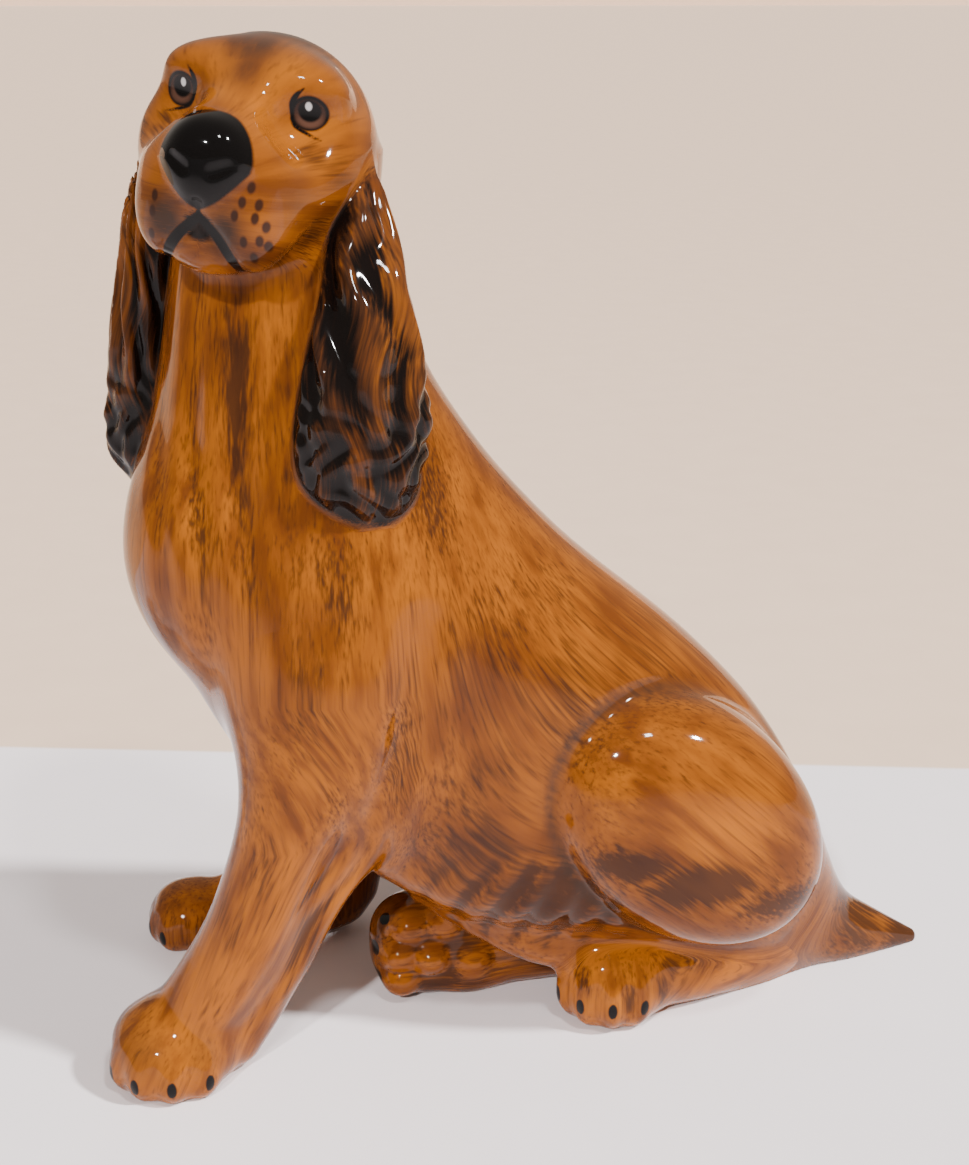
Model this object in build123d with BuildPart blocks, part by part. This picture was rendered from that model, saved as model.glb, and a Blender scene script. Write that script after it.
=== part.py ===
"""Seated spaniel ornament in glazed earthenware, in millimetres.

The figure is slip-cast in sections that are luted together while the clay is soft: a hollow body and
a hollow head, with solid-cast ears, forelegs, hind feet and tail. A thin layer of slip lies in every
joint. +X is the dog's left, -Y is the way its chest faces and +Z is up; it stands on Z = 0.
"""

import os
from collections import namedtuple
from math import cos, radians, sin, sqrt

from build123d import *

os.makedirs("parts", exist_ok=True)

# Clay and joints
wall = 4.5  # thickness of the hollow castings
slip = 0.8  # layer of luting slip in a joint
vent_radius = 5.0  # hole under the seat that lets steam out of the body in the kiln
neck_joint_height = 199.0

# Where the design's middle stands in the frame, so that the figure is centred on the origin
shift_left = 6.5
shift_back = 8.3

# Body: length, half width and height of its main levels
seat_length = 74.0
seat_half_width = 30.0
seat_left = -14.0  # the weight is on the right hip
belly_half_width = 39.0
shoulder_half_width = 41.0
neck_half_width = 28.5
neck_depth = 60.0
chest_reach = 112.0  # how far the breast stands in front of the design's middle
chest_height = 136.0
rump_reach = 87.0  # how far the rump stands behind the design's middle
belly_height = 26.0

# Haunches: a long boss that tilts down toward the back on the left, a round one on the right
thigh_length = 90.0
thigh_depth = 63.0
thigh_tilt = 41.3
right_haunch_width = 80.0
haunch_half_width = 28.0
haunch_left = 24.0  # middle of the boss, to the side of the spine
left_haunch_height = 63.0
right_haunch_height = 41.0
left_haunch_back = 28.0
right_haunch_back = 33.0

# Head
head_yaw = 66.0  # turned to the dog's left
head_roll = 10.0  # left ear down
head_left = 3.0
head_front = 76.5
head_height = 241.5
skull_length = 58.0
skull_width = 53.0
muzzle_reach = 43.0
muzzle_width = 37.0
bridge_height = 11.0  # top of the muzzle, above the middle of the skull
lip_drop = 26.0  # bottom of the lips, below the middle of the skull
nose_width = 22.0
nose_length = 12.0

# Limbs and tail
paw_width = 28.0
foreleg_width = 24.0
foreleg_splay = 10.0  # turn of the left foreleg away from the chest
hind_paw_width = 30.0
hind_paw_height = 27.0
sole_height = 28.5  # right hind foot, which lies on its side
sole_width = 22.0
tail_root_width = 34.0
tail_root_height = 34.0
tail_reach = 114.0  # tip of the tail behind the design's middle
ear_width = 31.0  # left ear at its fullest
ear_thickness = 23.0
far_ear_width = 21.0
far_ear_thickness = 20.0
left_ear_turn = -14.0
ear_top_height = 238.0
ear_tip_height = 153.0

# A level slice through a form: height, centre to the left, front edge, back edge, half width, turn
Slice = namedtuple("Slice", "height left front back half_width turn", defaults=(0.0,))
# An upright slice across a form that lies along the ground: place along it, half width, height
Girth = namedtuple("Girth", "along left width height sunk")


def level_loft(slices, grow=0.0):
    """Lofts a form through level ellipses, each grown outwards by the same amount."""
    with BuildPart() as form:
        for cut in slices:
            centre = (shift_left + cut.left, shift_back + (cut.front + cut.back) / 2)
            with BuildSketch(Plane.XY.offset(cut.height)):
                with Locations(centre):
                    Ellipse((cut.back - cut.front) / 2 + grow, cut.half_width + grow, rotation=cut.turn - 90)
        loft()
    return form.part


def ground_loft(girths, heading):
    """Lofts a form along the ground through upright ellipses, and cuts it flat where it stands."""
    ahead = Vector(sin(radians(heading)), -cos(radians(heading)), 0)
    with BuildPart() as form:
        for cut in girths:
            start = Vector(shift_left + cut.left, shift_back, 0)
            place = start + ahead * cut.along + Vector(0, 0, cut.height / 2 - cut.sunk)
            with BuildSketch(Plane(place, x_dir=ahead.cross(Vector(0, 0, 1)), z_dir=ahead)):
                Ellipse(cut.width / 2, cut.height / 2)
        loft()
        split(bisect_by=Plane.XY, keep=Keep.TOP)
    return form.part


# Body: one tall form from the seat to the inside of the skull
def body_slices():
    back = rump_reach
    nape = -head_front + neck_depth / 2 + 4
    return [
        Slice(0, seat_left, back - 1 - seat_length, back - 1, seat_half_width),
        Slice(8, seat_left + 1, back - 4 - seat_length, back + 1, seat_half_width + 2),
        Slice(belly_height, seat_left / 2, -16, back, belly_half_width - 2),
        Slice(belly_height + 15, 0, -48, back - 6, belly_half_width),
        Slice(62, 0, -66, back - 15, belly_half_width),
        Slice(85, 0, -chest_reach + 22, back - 30, belly_half_width + 1),
        Slice(chest_height - 25, 0, -chest_reach + 9, back - 54, shoulder_half_width),
        Slice(chest_height, 0, -chest_reach, back - 86, shoulder_half_width - 3),
        Slice(chest_height + 25, 0, -chest_reach + 4, back - 107, shoulder_half_width - 7),
        Slice(chest_height + 48, 0, nape - neck_depth - 0.5, nape + 5.5, neck_half_width + 2),
        Slice(neck_joint_height, 0, nape - neck_depth, nape, neck_half_width),
        Slice(neck_joint_height + 17, 0, -head_front - 25, -head_front + 24, neck_half_width - 4),
        Slice(head_height - 8, 0, -head_front - 18, -head_front + 17, neck_half_width - 11),
    ]


def haunch_form(side, height, behind, length, depth, tilt, grow=0.0):
    """An oval boss that stands out to one side of the rump, tilted down toward the back."""
    along = length / 2 + grow
    across = depth / 2 + grow
    fall = sin(radians(tilt))
    run = cos(radians(tilt))
    rise = sqrt((along * fall) ** 2 + (across * run) ** 2)
    chord = along * across / rise
    lean = (across**2 - along**2) * fall * run / rise**2
    slices = []
    for angle in (-80, -55, -28, 0, 28, 55, 80):
        spread = cos(radians(angle))
        lift = rise * sin(radians(angle))
        middle = behind + lean * lift
        half_width = (haunch_half_width + grow) * spread**0.5
        reach = chord * spread
        slices.append(Slice(height + lift, side * haunch_left, middle - reach, middle + reach, half_width))
    return level_loft(slices)


def left_haunch_form(grow=0.0):
    return haunch_form(1, left_haunch_height, left_haunch_back, thigh_length, thigh_depth, thigh_tilt, grow)


def right_haunch_form(grow=0.0):
    width = right_haunch_width
    return haunch_form(-1, right_haunch_height, right_haunch_back, width, width, 0, grow)


def body_form(grow=0.0):
    """Body, neck and haunches as one form, grown or shrunk all round."""
    with BuildPart() as form:
        add(level_loft(body_slices(), grow))
        add(left_haunch_form(grow))
        add(right_haunch_form(grow))
    return form.part


# Head: a skull, a deep square muzzle and a nose, on planes that face the way the head looks
face = Vector(sin(radians(head_yaw)), -cos(radians(head_yaw)), 0)
cheek = Vector(cos(radians(head_yaw)), sin(radians(head_yaw)), 0)
head_centre = Vector(shift_left + head_left, shift_back - head_front, head_height)
head_plane = Plane(head_centre, x_dir=cheek, z_dir=face).rotated((0, 0, -head_roll))


def spheroid(plane, half_length, radius):
    """An egg turned about the plane's normal."""
    across = Plane(plane.origin, x_dir=plane.z_dir, z_dir=plane.x_dir)
    with BuildPart() as form:
        with BuildSketch(across):
            with BuildLine():
                EllipticalCenterArc((0, 0), half_length, radius, start_angle=0, arc_size=180)
                Line((-half_length, 0), (half_length, 0))
            make_face()
        revolve(axis=Axis(plane.origin, plane.z_dir))
    return form.part


def head_form(grow=0.0):
    """Skull and muzzle, with the nose on the outside form only."""
    stations = [
        (6, muzzle_width + 7, bridge_height + 5, lip_drop - 6),
        (20, muzzle_width + 3, bridge_height + 3, lip_drop - 2),
        (muzzle_reach - 13, muzzle_width, bridge_height, lip_drop),
        (muzzle_reach - 5, muzzle_width - 4, bridge_height - 3, lip_drop),
        (muzzle_reach, muzzle_width - 17, bridge_height - 9, lip_drop - 11),
    ]
    with BuildPart() as form:
        add(spheroid(head_plane, skull_length / 2 + grow, skull_width / 2 + grow))
        for ahead, width, top, drop in stations:
            with BuildSketch(head_plane.offset(ahead + min(grow, 0))):
                with Locations((0, (top - drop) / 2)):
                    Ellipse(width / 2 + grow, (top + drop) / 2 + grow)
        loft()
        if grow >= 0:
            nose_plane = head_plane.offset(muzzle_reach - nose_length / 2)
            add(spheroid(nose_plane, nose_length + grow, nose_width / 2 + grow))
    return form.part


def body_cavity():
    """Hollow of the body, closed over the seat and open upwards through the neck."""
    with BuildPart() as hollow:
        add(body_form(-wall))
        split(bisect_by=Plane.XY.offset(wall), keep=Keep.TOP)
    return hollow.part


torso = level_loft(body_slices())
slipped_torso = level_loft(body_slices(), slip)
neck_hollow = level_loft(body_slices(), -wall)
head = head_form()
left_haunch = left_haunch_form()

with BuildPart() as body_casting:
    add(body_form())
    split(bisect_by=Plane.XY.offset(neck_joint_height), keep=Keep.BOTTOM)
    add(body_cavity(), mode=Mode.SUBTRACT)
    with Locations((shift_left + seat_left, shift_back + rump_reach - seat_length / 2, 0)):
        Cylinder(vent_radius, 4 * wall, mode=Mode.SUBTRACT)
body_casting.part.label = "body_casting"
export_step(body_casting.part, "parts/body_casting.step")

with BuildPart() as head_casting:
    add(torso)
    add(head)
    add(neck_hollow, mode=Mode.SUBTRACT)
    add(head_form(-wall), mode=Mode.SUBTRACT)
    split(bisect_by=Plane.XY.offset(neck_joint_height + slip), keep=Keep.TOP)
head_casting.part.label = "head_casting"
export_step(head_casting.part, "parts/head_casting.step")

with BuildPart() as neck_slip:
    add(torso)
    add(neck_hollow, mode=Mode.SUBTRACT)
    split(bisect_by=Plane.XY.offset(neck_joint_height + slip), keep=Keep.BOTTOM)
    split(bisect_by=Plane.XY.offset(neck_joint_height), keep=Keep.TOP)
neck_slip.part.label = "neck_slip"
export_step(neck_slip.part, "parts/neck_slip.step")

# Ears: flat at the root, fullest just above the tip
ear_full = ear_tip_height + 17
ear_middle = ear_full + 0.26 * (ear_top_height - ear_tip_height)
ear_upper = ear_full + 0.47 * (ear_top_height - ear_tip_height)


def ear_slice(height, left, middle, width, thickness, turn=0.0):
    """A level slice through an ear, about the middle of its width."""
    return Slice(height, left, middle - width / 2, middle + width / 2, thickness / 2, turn)


left_ear_form = level_loft(
    [
        ear_slice(ear_tip_height, 28, -60, 8, ear_thickness * 0.5, left_ear_turn),
        ear_slice(ear_tip_height + 5, 29.5, -58.5, ear_width - 8, ear_thickness * 0.83, left_ear_turn),
        ear_slice(ear_full, 30, -59, ear_width, ear_thickness, left_ear_turn),
        ear_slice(ear_middle, 28.5, -58, ear_width * 0.84, ear_thickness * 0.92, left_ear_turn),
        ear_slice(ear_upper, 25.5, -57, ear_width * 0.66, ear_thickness * 0.8, left_ear_turn),
        ear_slice(ear_top_height - 12, 20.5, -56.5, ear_width * 0.48, ear_thickness * 0.68, left_ear_turn),
        ear_slice(ear_top_height, 14, -54.5, 9, ear_thickness * 0.5, left_ear_turn),
    ]
)
right_ear_form = level_loft(
    [
        ear_slice(ear_tip_height - 2, -16, -103.5, 7, far_ear_thickness * 0.4),
        ear_slice(ear_tip_height + 4, -17.5, -105, 16, far_ear_thickness * 0.8),
        ear_slice(ear_full - 4, -18, -106, far_ear_width, far_ear_thickness),
        ear_slice(ear_full + 6, -17, -106.5, far_ear_width, far_ear_thickness),
        ear_slice(ear_middle, -15, -107, far_ear_width * 0.88, far_ear_thickness * 0.88),
        ear_slice(ear_upper, -13, -105, far_ear_width * 0.76, far_ear_thickness * 0.8),
        ear_slice(ear_top_height - 12, -11, -104, far_ear_width * 0.56, far_ear_thickness * 0.64),
        ear_slice(ear_top_height, -8, -99, 8, far_ear_thickness * 0.5),
    ]
)

# Forelegs: each is cast with its shoulder, which lies against the chest, and the paw stands flat
left_foreleg_form = level_loft(
    [
        Slice(0, 20.5, -128, -93, paw_width / 2 - 1, foreleg_splay),
        Slice(6, 21, -131, -90, paw_width / 2, foreleg_splay),
        Slice(13, 21, -128, -88, paw_width / 2, foreleg_splay),
        Slice(24, 22.5, -114, -80, foreleg_width / 2 - 1, foreleg_splay),
        Slice(40, 24.5, -103, -70, foreleg_width / 2 - 1, foreleg_splay),
        Slice(60, 25, -96, -59, foreleg_width / 2, foreleg_splay),
        Slice(80, 25, -91, -49, foreleg_width / 2 + 2, foreleg_splay),
        Slice(98, 25, -89, -41, foreleg_width / 2 + 5, foreleg_splay),
        Slice(116, 24, -91, -38, foreleg_width / 2 + 6, foreleg_splay),
        Slice(134, 23, -86, -42, foreleg_width / 2 + 3, foreleg_splay),
        Slice(147, 21, -74, -54, foreleg_width / 3, foreleg_splay),
    ]
)
right_foreleg_form = level_loft(
    [
        Slice(0, -52, -111, -49, paw_width / 2 - 2),
        Slice(9, -51.2, -114, -46, paw_width / 2 - 1),
        Slice(17, -49.5, -97, -44, foreleg_width / 2 - 1.5),
        Slice(27, -46.5, -79, -43, foreleg_width / 2 - 1.5),
        Slice(45, -42.5, -74, -42, foreleg_width / 2 - 1.5),
        Slice(68, -36.5, -75, -43, foreleg_width / 2),
        Slice(90, -28, -79, -39, foreleg_width / 2 + 3.5),
        Slice(112, -23, -85, -33, foreleg_width / 2 + 5),
        Slice(130, -22, -80, -38, foreleg_width / 2 + 2),
        Slice(143, -20, -68, -48, foreleg_width / 3),
    ]
)

# Hind feet and tail lie along the ground
left_hind_foot_form = ground_loft(
    [
        Girth(-66, 18, hind_paw_width - 12, hind_paw_height - 9, 2),
        Girth(-46, 18, hind_paw_width - 6, hind_paw_height - 5, 2),
        Girth(-28, 18, hind_paw_width - 2, hind_paw_height, 2),
        Girth(-14, 18, hind_paw_width, hind_paw_height + 2, 2),
        Girth(-4, 18, hind_paw_width - 6, hind_paw_height - 5, 2),
        Girth(2, 18, hind_paw_width / 3, hind_paw_height / 3, 1),
    ],
    heading=12,
)
right_hind_foot_form = ground_loft(
    [
        Girth(-12, -6, sole_width - 3, sole_height - 8, 2),
        Girth(5, -6, sole_width - 2, sole_height - 6, 2),
        Girth(20, -7, sole_width, sole_height, 2),
        Girth(36, -8, sole_width, sole_height + 2, 2),
        Girth(47, -9, sole_width - 5, sole_height - 5, 2),
        Girth(52, -10, sole_width / 3, sole_height / 3, 0),
    ],
    heading=0,
)
tail_form = ground_loft(
    [
        Girth(tail_reach - 38, 0, tail_root_width, tail_root_height + 4, 4),
        Girth(tail_reach - 26, 1, tail_root_width - 10, tail_root_height - 9, 3),
        Girth(tail_reach - 16, 2, tail_root_width - 19, tail_root_height - 18, 3),
        Girth(tail_reach - 6, 3, tail_root_width - 25, tail_root_height - 25, 2),
        Girth(tail_reach, 3, tail_root_width / 7, tail_root_height / 8, 1),
    ],
    heading=180,
)

# Each luted piece is fitted to the torso over a layer of slip, and butts against its other neighbours
luted = {
    "left_ear": (left_ear_form, [head]),
    "right_ear": (right_ear_form, [head]),
    "left_foreleg": (left_foreleg_form, []),
    "right_foreleg": (right_foreleg_form, []),
    "left_hind_foot": (left_hind_foot_form, [left_haunch]),
    "right_hind_foot": (right_hind_foot_form, [left_hind_foot_form]),
    "tail": (tail_form, []),
}
for name, (form, neighbours) in luted.items():
    with BuildPart() as piece:
        add(form)
        add(slipped_torso, mode=Mode.SUBTRACT)
        for neighbour in neighbours:
            add(neighbour, mode=Mode.SUBTRACT)
    piece.part.label = name
    export_step(piece.part, f"parts/{name}.step")

    with BuildPart() as layer:
        add(form)
        add(slipped_torso, mode=Mode.INTERSECT)
        add(torso, mode=Mode.SUBTRACT)
        for neighbour in neighbours:
            add(neighbour, mode=Mode.SUBTRACT)
    layer.part.label = f"{name}_slip"
    export_step(layer.part, f"parts/{name}_slip.step")
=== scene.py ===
"""Seated spaniel in hand-painted, glossy glazed earthenware, put together casting by casting."""

import bpy
import numpy as np
import openvdb
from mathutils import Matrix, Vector


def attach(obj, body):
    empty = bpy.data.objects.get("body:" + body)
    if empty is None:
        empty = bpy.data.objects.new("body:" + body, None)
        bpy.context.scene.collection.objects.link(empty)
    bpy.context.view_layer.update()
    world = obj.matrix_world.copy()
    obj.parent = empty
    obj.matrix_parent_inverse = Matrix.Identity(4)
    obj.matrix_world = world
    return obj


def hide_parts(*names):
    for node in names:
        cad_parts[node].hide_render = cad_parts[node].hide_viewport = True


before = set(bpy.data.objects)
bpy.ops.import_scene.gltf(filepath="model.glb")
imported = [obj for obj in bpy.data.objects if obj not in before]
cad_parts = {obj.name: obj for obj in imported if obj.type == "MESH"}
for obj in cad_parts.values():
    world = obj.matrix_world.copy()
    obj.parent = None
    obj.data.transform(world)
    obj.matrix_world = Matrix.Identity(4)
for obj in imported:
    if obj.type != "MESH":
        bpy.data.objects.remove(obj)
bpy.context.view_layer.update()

# Body casting
# The hollow body with both haunches, slip-cast in one mould and open at the neck. The dog rests on
# its right hip, so the left thigh stands out as a round boss. Everything else is luted onto it.

MM = 0.001
MIDDLE = np.array([6.5, 8.3, 0.0])  # where the modeller's middle stands in the frame, in mm


def blend(a, b, fillet):
    """Joins two forms with a round fillet of clay in the angle between them."""
    near = np.maximum(fillet - np.abs(a - b), 0) / fillet
    return np.minimum(a, b) - near * near * fillet / 4


def carve(a, b, fillet):
    """Cuts form b out of form a, with soft edges."""
    return -blend(-a, b, fillet)


def egg(p, centre, radii, axes=None, power=2.0):
    """An egg of clay; a power above 2 makes it squarer."""
    q = p - np.array(centre, np.float32)
    if axes is not None:
        q = q @ np.array(axes, np.float32).T
    radii = np.array(radii, np.float32)
    q = np.abs(q / radii) + 1e-6
    size = (q**power).sum(1) ** (1 / power)
    slope = np.sqrt((((q / size[:, None]) ** (power - 1) / radii) ** 2).sum(1))
    return (size - 1) / slope


def boss(p, centre, radii, axes, power):
    """A round boss, flat-topped along its first axis."""
    q = (p - np.array(centre, np.float32)) @ np.array(axes, np.float32).T / np.array(radii, np.float32)
    rim = np.hypot(q[:, 1], q[:, 2])
    size = (np.abs(q[:, 0]) ** power + rim**power) ** (1 / power)
    return (size - 1) * min(radii)


def roll(p, points, radii):
    """A roll of clay laid in a smooth course through a few points, with its own radius at each."""
    spine = np.column_stack([points, radii]).astype(np.float32)
    ends = np.vstack([2 * spine[0] - spine[1], spine, 2 * spine[-1] - spine[-2]])
    course = []
    for a, b, c, d in zip(ends, ends[1:], ends[2:], ends[3:]):
        for t in (0, 0.25, 0.5, 0.75):
            bend = c - a + t * (2 * a - 5 * b + 4 * c - d + t * (3 * (b - c) + d - a))
            course.append(b + 0.5 * t * bend)
    course.append(spine[-1])
    whole = np.full(len(p), np.inf, np.float32)
    for a, b in zip(course, course[1:]):
        length = np.linalg.norm((b - a)[:3])
        taper = (b[3] - a[3]) / length
        run = (p - a[:3]) @ (b - a)[:3] / length
        off = np.sqrt(np.maximum(((p - a[:3]) ** 2).sum(1) - run * run, 0))
        nearest = np.clip(run + off * taper / np.sqrt(max(1 - taper * taper, 0.1)), 0, length)
        whole = np.minimum(whole, np.hypot(off, run - nearest) - a[3] - taper * nearest)
    return whole


def levels(p, stations, ease=7.0):
    """A form through level ovals: height, left, front, back and half width, eased into each other."""
    stations = np.array(stations, np.float32)
    heights = np.arange(stations[0, 0] - 40, stations[-1, 0] + 40)
    reach = np.arange(-3 * ease, 3 * ease + 1)
    weight = np.exp(-((reach / ease) ** 2) / 2)
    weight /= weight.sum()
    sizes = []
    for column in stations.T[1:]:
        rough = np.interp(heights, stations[:, 0], column)
        eased = np.convolve(np.pad(rough, len(reach) // 2, mode="edge"), weight, mode="valid")
        sizes.append(np.interp(p[:, 2], heights, eased))
    left, front, back, half_width = sizes
    dx = (p[:, 0] - left) / half_width
    dy = (p[:, 1] - (front + back) / 2) / ((back - front) / 2)
    size = np.hypot(dx, dy) + 1e-6
    slope = np.hypot(dx / half_width, dy / ((back - front) / 2)) / size
    oval = (size - 1) / slope
    return np.maximum(oval, np.maximum(stations[0, 0] - p[:, 2], p[:, 2] - stations[-1, 0]))


def wave(p, along, across, pitch, sway):
    """Ridges of hair that sway as they run, from -1 in the groove to 1 on the ridge."""
    s = p @ np.array(across, np.float32)
    t = p @ np.array(along, np.float32)
    swing = sway * np.sin(t / (2.2 * pitch)) + 0.5 * sway * np.sin(t / (0.9 * pitch) + s / (3 * pitch))
    return np.cos(2 * np.pi * (s + swing) / pitch + 0.8 * np.sin(s / (1.7 * pitch)))


def patch(p, centre, radii):
    """1 in the middle of a soft-edged patch, 0 outside it."""
    q = (p - np.array(centre, np.float32)) / np.array(radii, np.float32)
    return np.clip(1.5 - 1.5 * np.sqrt((q * q).sum(1)), 0, 1)


TORSO = [
    (-20, -14, 14, 85, 29),
    (0, -14, 12, 86, 30),
    (10, -12, 6, 88, 33),
    (20, -9, 6, 88, 36),
    (27, -6, -8, 87, 37),
    (33, -3, -32, 85, 38),
    (42, 0, -54, 81, 37),
    (52, 0, -60, 76, 36.5),
    (64, 0, -70, 71, 37),
    (75, 0, -84, 64, 38),
    (86, 0, -91, 57, 39.5),
    (110, 0, -103, 34, 41),
    (136, 0, -112, 2, 39),
    (160, 0, -109, -20, 35),
    (185, 0, -104, -37, 30),
    (204, 0, -101, -43, 27),
    (232, 0, -96, -54, 22),
]
THIGH_AXES = [(1, 0, 0), (0, 0.75, -0.66), (0, 0.66, 0.75)]
THIGH = (22, 28, 63), (29, 45, 31.5), THIGH_AXES, 3.0


def vent(p):
    """The round hole under the seat that lets steam out in the kiln."""
    return np.maximum(np.hypot(p[:, 0] + 14, p[:, 1] - 50) - 5, p[:, 2] - 9)


def belly_locks(p):
    """Locks of hair on the belly, from -1 in the grooves to 1 on the ridges."""
    return wave(p, (0, 0.35, 0.94), (0.3, 0.9, -0.32), 9, 4) * patch(p, (20, -14, 42), (40, 42, 22))


def chest_folds(p):
    """Long soft folds of hair down the throat and breast."""
    return wave(p, (0, 0.1, 1), (0.5, 0.86, 0), 11, 2) * patch(p, (22, -92, 165), (36, 26, 62))


def body_form(p):
    form = levels(p, TORSO)
    form = blend(form, egg(p, (24, -64, 116), (17, 27, 36)), 14)  # left shoulder
    form = blend(form, egg(p, (-24, -58, 112), (17, 27, 36)), 14)  # right shoulder
    form = blend(form, egg(p, (0, -96, 140), (26, 17, 26)), 14)  # breast
    form = blend(form, egg(p, (-24, 33, 42), (29, 43, 43)), 10)  # right haunch
    crease = roll(p, [(46, -45, 128), (45, -50, 110), (42, -53, 92), (38, -58, 76)], [3, 4.5, 5, 4])
    form = carve(form, crease, 8)
    fringe = roll(p, [(12, -44, 53), (17, -26, 44), (19, -8, 42), (17, 8, 44)], [8, 9, 9, 9])
    form = blend(form, fringe, 8)  # hair hanging from the belly
    hem = roll(p, [(4, -37, 39), (9, -24, 32), (13, -8, 25), (15, 8, 22)], [7, 8, 9.5, 10])
    form = blend(form, hem, 8)  # and lying on the far hind foot
    form = form - 0.5 * belly_locks(p) - 0.5 * chest_folds(p)
    thigh = boss(p, *THIGH)
    form = blend(carve(form, thigh - 0.5, 4), thigh, 3)
    return np.maximum(form, -vent(p))


def cast(name, form, low, high, pitch, paint, trim=None):
    """Meshes a form inside a box of clay, with samples close together only near its surface.

    The paint function gives each point its brushwork; trim is where the piece is cut off.
    """
    low = np.array(low, np.float32)
    count = np.ceil((np.array(high) - low) / (4 * pitch)).astype(int)

    def solid(p):
        cut = -p[:, 2] if trim is None else np.maximum(trim(p), -p[:, 2])
        return np.maximum(form(p), cut)

    def slope(p):
        steps = np.eye(3, dtype=np.float32) * 0.3
        return np.stack([(form(p + step) - form(p - step)) / 0.6 for step in steps], 1)

    def lattice(counts):
        return np.stack(np.meshgrid(*[np.arange(n) for n in counts], indexing="ij"), -1).reshape(-1, 3)

    blocks = (low + (lattice(count) + 0.5) * 4 * pitch).astype(np.float32)
    rough = solid(blocks)
    field = np.repeat(rough, 64).reshape(-1, 64)
    near = np.abs(rough) < 9 * pitch
    inside = ((lattice([4, 4, 4]) - 1.5) * pitch).astype(np.float32)
    field[near] = solid((blocks[near][:, None] + inside).reshape(-1, 3)).reshape(-1, 64)
    field = field.reshape(tuple(count) + (4, 4, 4)).transpose(0, 3, 1, 4, 2, 5).reshape(count * 4)
    grid = openvdb.FloatGrid(background=9.0)
    grid.copyFromArray(np.ascontiguousarray(field, np.float32), tolerance=0.0)
    points, quads = grid.convertToQuads(isovalue=0.0)
    points = (low + (points + 0.5) * pitch).astype(np.float32)

    free = points[:, 2] > 0.4 * pitch
    if trim is not None:
        free &= trim(points) < -0.3 * pitch
    for _ in range(2):
        g = slope(points[free])
        step = np.clip(form(points[free]), -pitch / 2, pitch / 2)[:, None]
        points[free] -= step * g / np.maximum((g * g).sum(1, keepdims=True), 0.4)
    points[:, 2] = np.maximum(points[:, 2], 0)
    normals = slope(points)
    normals[points[:, 2] < 0.2 * pitch] = (0, 0, -1)
    normals /= np.linalg.norm(normals, axis=1, keepdims=True)

    mesh = bpy.data.meshes.new(name)
    mesh.from_pydata(((points + MIDDLE) * MM).tolist(), [], quads.tolist())
    mesh.shade_smooth()
    mesh.normals_split_custom_set_from_vertices(normals.tolist())
    kinds = {1: ("FLOAT", "value"), 3: ("FLOAT_VECTOR", "vector"), 4: ("FLOAT_COLOR", "color")}
    layers = {"bare": points[:, 2] < 0.2 * pitch, **paint(points)}
    for label, values in layers.items():
        kind, field_name = kinds[values.size // len(points)]
        layer = mesh.attributes.new(label, kind, "POINT")
        layer.data.foreach_set(field_name, values.astype(np.float32).ravel())
    piece = bpy.data.objects.new(name, mesh)
    bpy.context.scene.collection.objects.link(piece)
    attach(piece, "root")
    return piece


def dabs(p, marks):
    """Soft airbrushed patches: each a place, its spread along X, Y and Z, and its strength."""
    total = np.zeros(len(p), np.float32)
    for place, spread, strength in marks:
        q = (p - np.array(place, np.float32)) / np.array(spread, np.float32)
        total = np.maximum(total, strength * np.exp(-(q * q).sum(1)))
    return total


def brushwork(flow, dark, gold, grey, black=0.0, ink=9.0):
    """What the glaze needs at each point: the way the brush went, the washes, some of them painted
    shade, and the ink marks.
    """
    size = len(dark)
    washes = np.stack([np.broadcast_to(wash, size) for wash in (dark, gold, grey, black)], 1)
    return {"flow": np.stack(flow, 1), "washes": washes, "ink": np.broadcast_to(ink, size)}


def luted(own, parent, fillet):
    """A piece of clay pressed onto another: its model with the wiped joint, and where it is cut off."""

    def model(p):
        return blend(own(p), parent(p), fillet)

    def trim(p):
        return np.maximum(own(p) - 0.9 * fillet, -parent(p) - 1.5)

    return model, trim


def wiped(own_paint, own, parent_paint, fillet):
    """Paint for a luted piece: its own, brushed out into its parent's across the joint."""

    def paint(p):
        there, here = parent_paint(p), own_paint(p)
        share = np.clip(own(p) / (0.7 * fillet), 0, 1)
        share = share * share * (3 - 2 * share)
        mixed = {}
        for label, values in here.items():
            mixed[label] = (values.T * (1 - share) + there.get(label, values).T * share).T
        return mixed

    return paint


def coat_flow(p):
    """Brush strokes run down the chest and turn to follow the back toward the tail."""
    x, y, z = p.T
    turn = np.clip((y + 70) / 90, 0, 1)
    turn = turn * turn * (3 - 2 * turn)
    across = y + turn * (0.72 * (z - 120) - 0.31 * y)
    along = z + turn * (-0.72 * y - 0.31 * z)
    return across, x, along


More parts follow.
